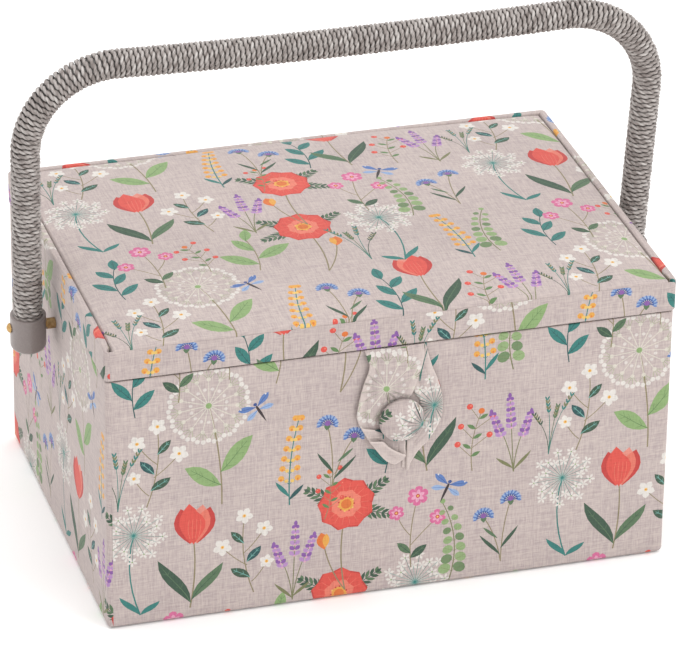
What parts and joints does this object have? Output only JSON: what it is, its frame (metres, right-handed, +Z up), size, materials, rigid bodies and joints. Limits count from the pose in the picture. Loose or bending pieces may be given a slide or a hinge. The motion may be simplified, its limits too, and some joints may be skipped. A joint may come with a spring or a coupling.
{
  "type": "sewing box",
  "caption": "Cloth-covered rectangular sewing box with a padded hinged lid, a cord-wound swinging handle and a cloth loop over a covered button.",
  "frame": {"origin": "centre of the underside, on the surface that the box stands on", "axes": "+X to the right along the front, -Y out of the front face with the button, +Z up"},
  "size_m": [0.375, 0.2382, 0.2985],
  "materials": {
    "board": "raw fibreboard",
    "printed_cloth": "linen-look printed cotton",
    "base_sheet": "matt covering paper",
    "lining": "plain cotton lining",
    "foam": "soft foam",
    "brass": "gilt",
    "steel": "zinc plated",
    "cord": "twisted cord",
    "rod": "moulded rod",
    "cap": "satin moulded plastic"
  },
  "bodies": {
    "box": {"base_board": "board", "front_wall_board": "board", "back_wall_board": "board", "left_wall_board": "board", "right_wall_board": "board", "outer_cover": "printed_cloth", "base_cover": "base_sheet", "wall_lining": "lining", "floor_pad": "lining", "button_dome": "printed_cloth", "button_shank": "steel", "button_washer": "steel", "left_rivet_washer": "steel", "right_rivet_washer": "steel", "hinge_cloth": "printed_cloth"},
    "rivets": {"left_rivet": "brass", "right_rivet": "brass", "left_spacer": "brass", "right_spacer": "brass"},
    "handle": {"handle_core": "rod", "handle_wrap": "cord", "left_end_cap": "cap", "right_end_cap": "cap"},
    "lid": {"lid_top_board": "board", "lid_front_board": "board", "lid_back_board": "board", "lid_left_board": "board", "lid_right_board": "board", "lid_pad": "foam", "lid_top_cover": "printed_cloth", "lid_side_cover": "printed_cloth", "lid_lining": "lining", "pin_cushion": "lining", "lid_pocket": "lining"},
    "loop": {"button_loop": "printed_cloth"}
  },
  "joints": [
    {"name": "lid_hinge", "type": "hinge", "parent": "box", "child": "lid", "pos_m": [0, 0.1141, 0.15265], "axis": [-1, 0, 0], "range_deg": [0, 100], "deforming": ["hinge_cloth"]},
    {"name": "rivet_turn", "type": "hinge", "parent": "box", "child": "rivets", "pos_m": [0, 0.002, 0.1309], "axis": [-1, 0, 0], "range_deg": [0, 100]},
    {"name": "handle_swing", "type": "hinge", "parent": "rivets", "child": "handle", "pos_m": [0, 0.002, 0.1309], "axis": [-1, 0, 0], "range_deg": [-112, 24]},
    {"name": "loop_lift", "type": "hinge", "parent": "lid", "child": "loop", "pos_m": [0, -0.114, 0.1528], "axis": [-1, 0, 0], "range_deg": [0, 75], "deforming": ["button_loop"]}
  ],
  "couplings": [
    {"joint": "rivet_turn", "follows": "lid_hinge", "ratio": 1}
  ]
}
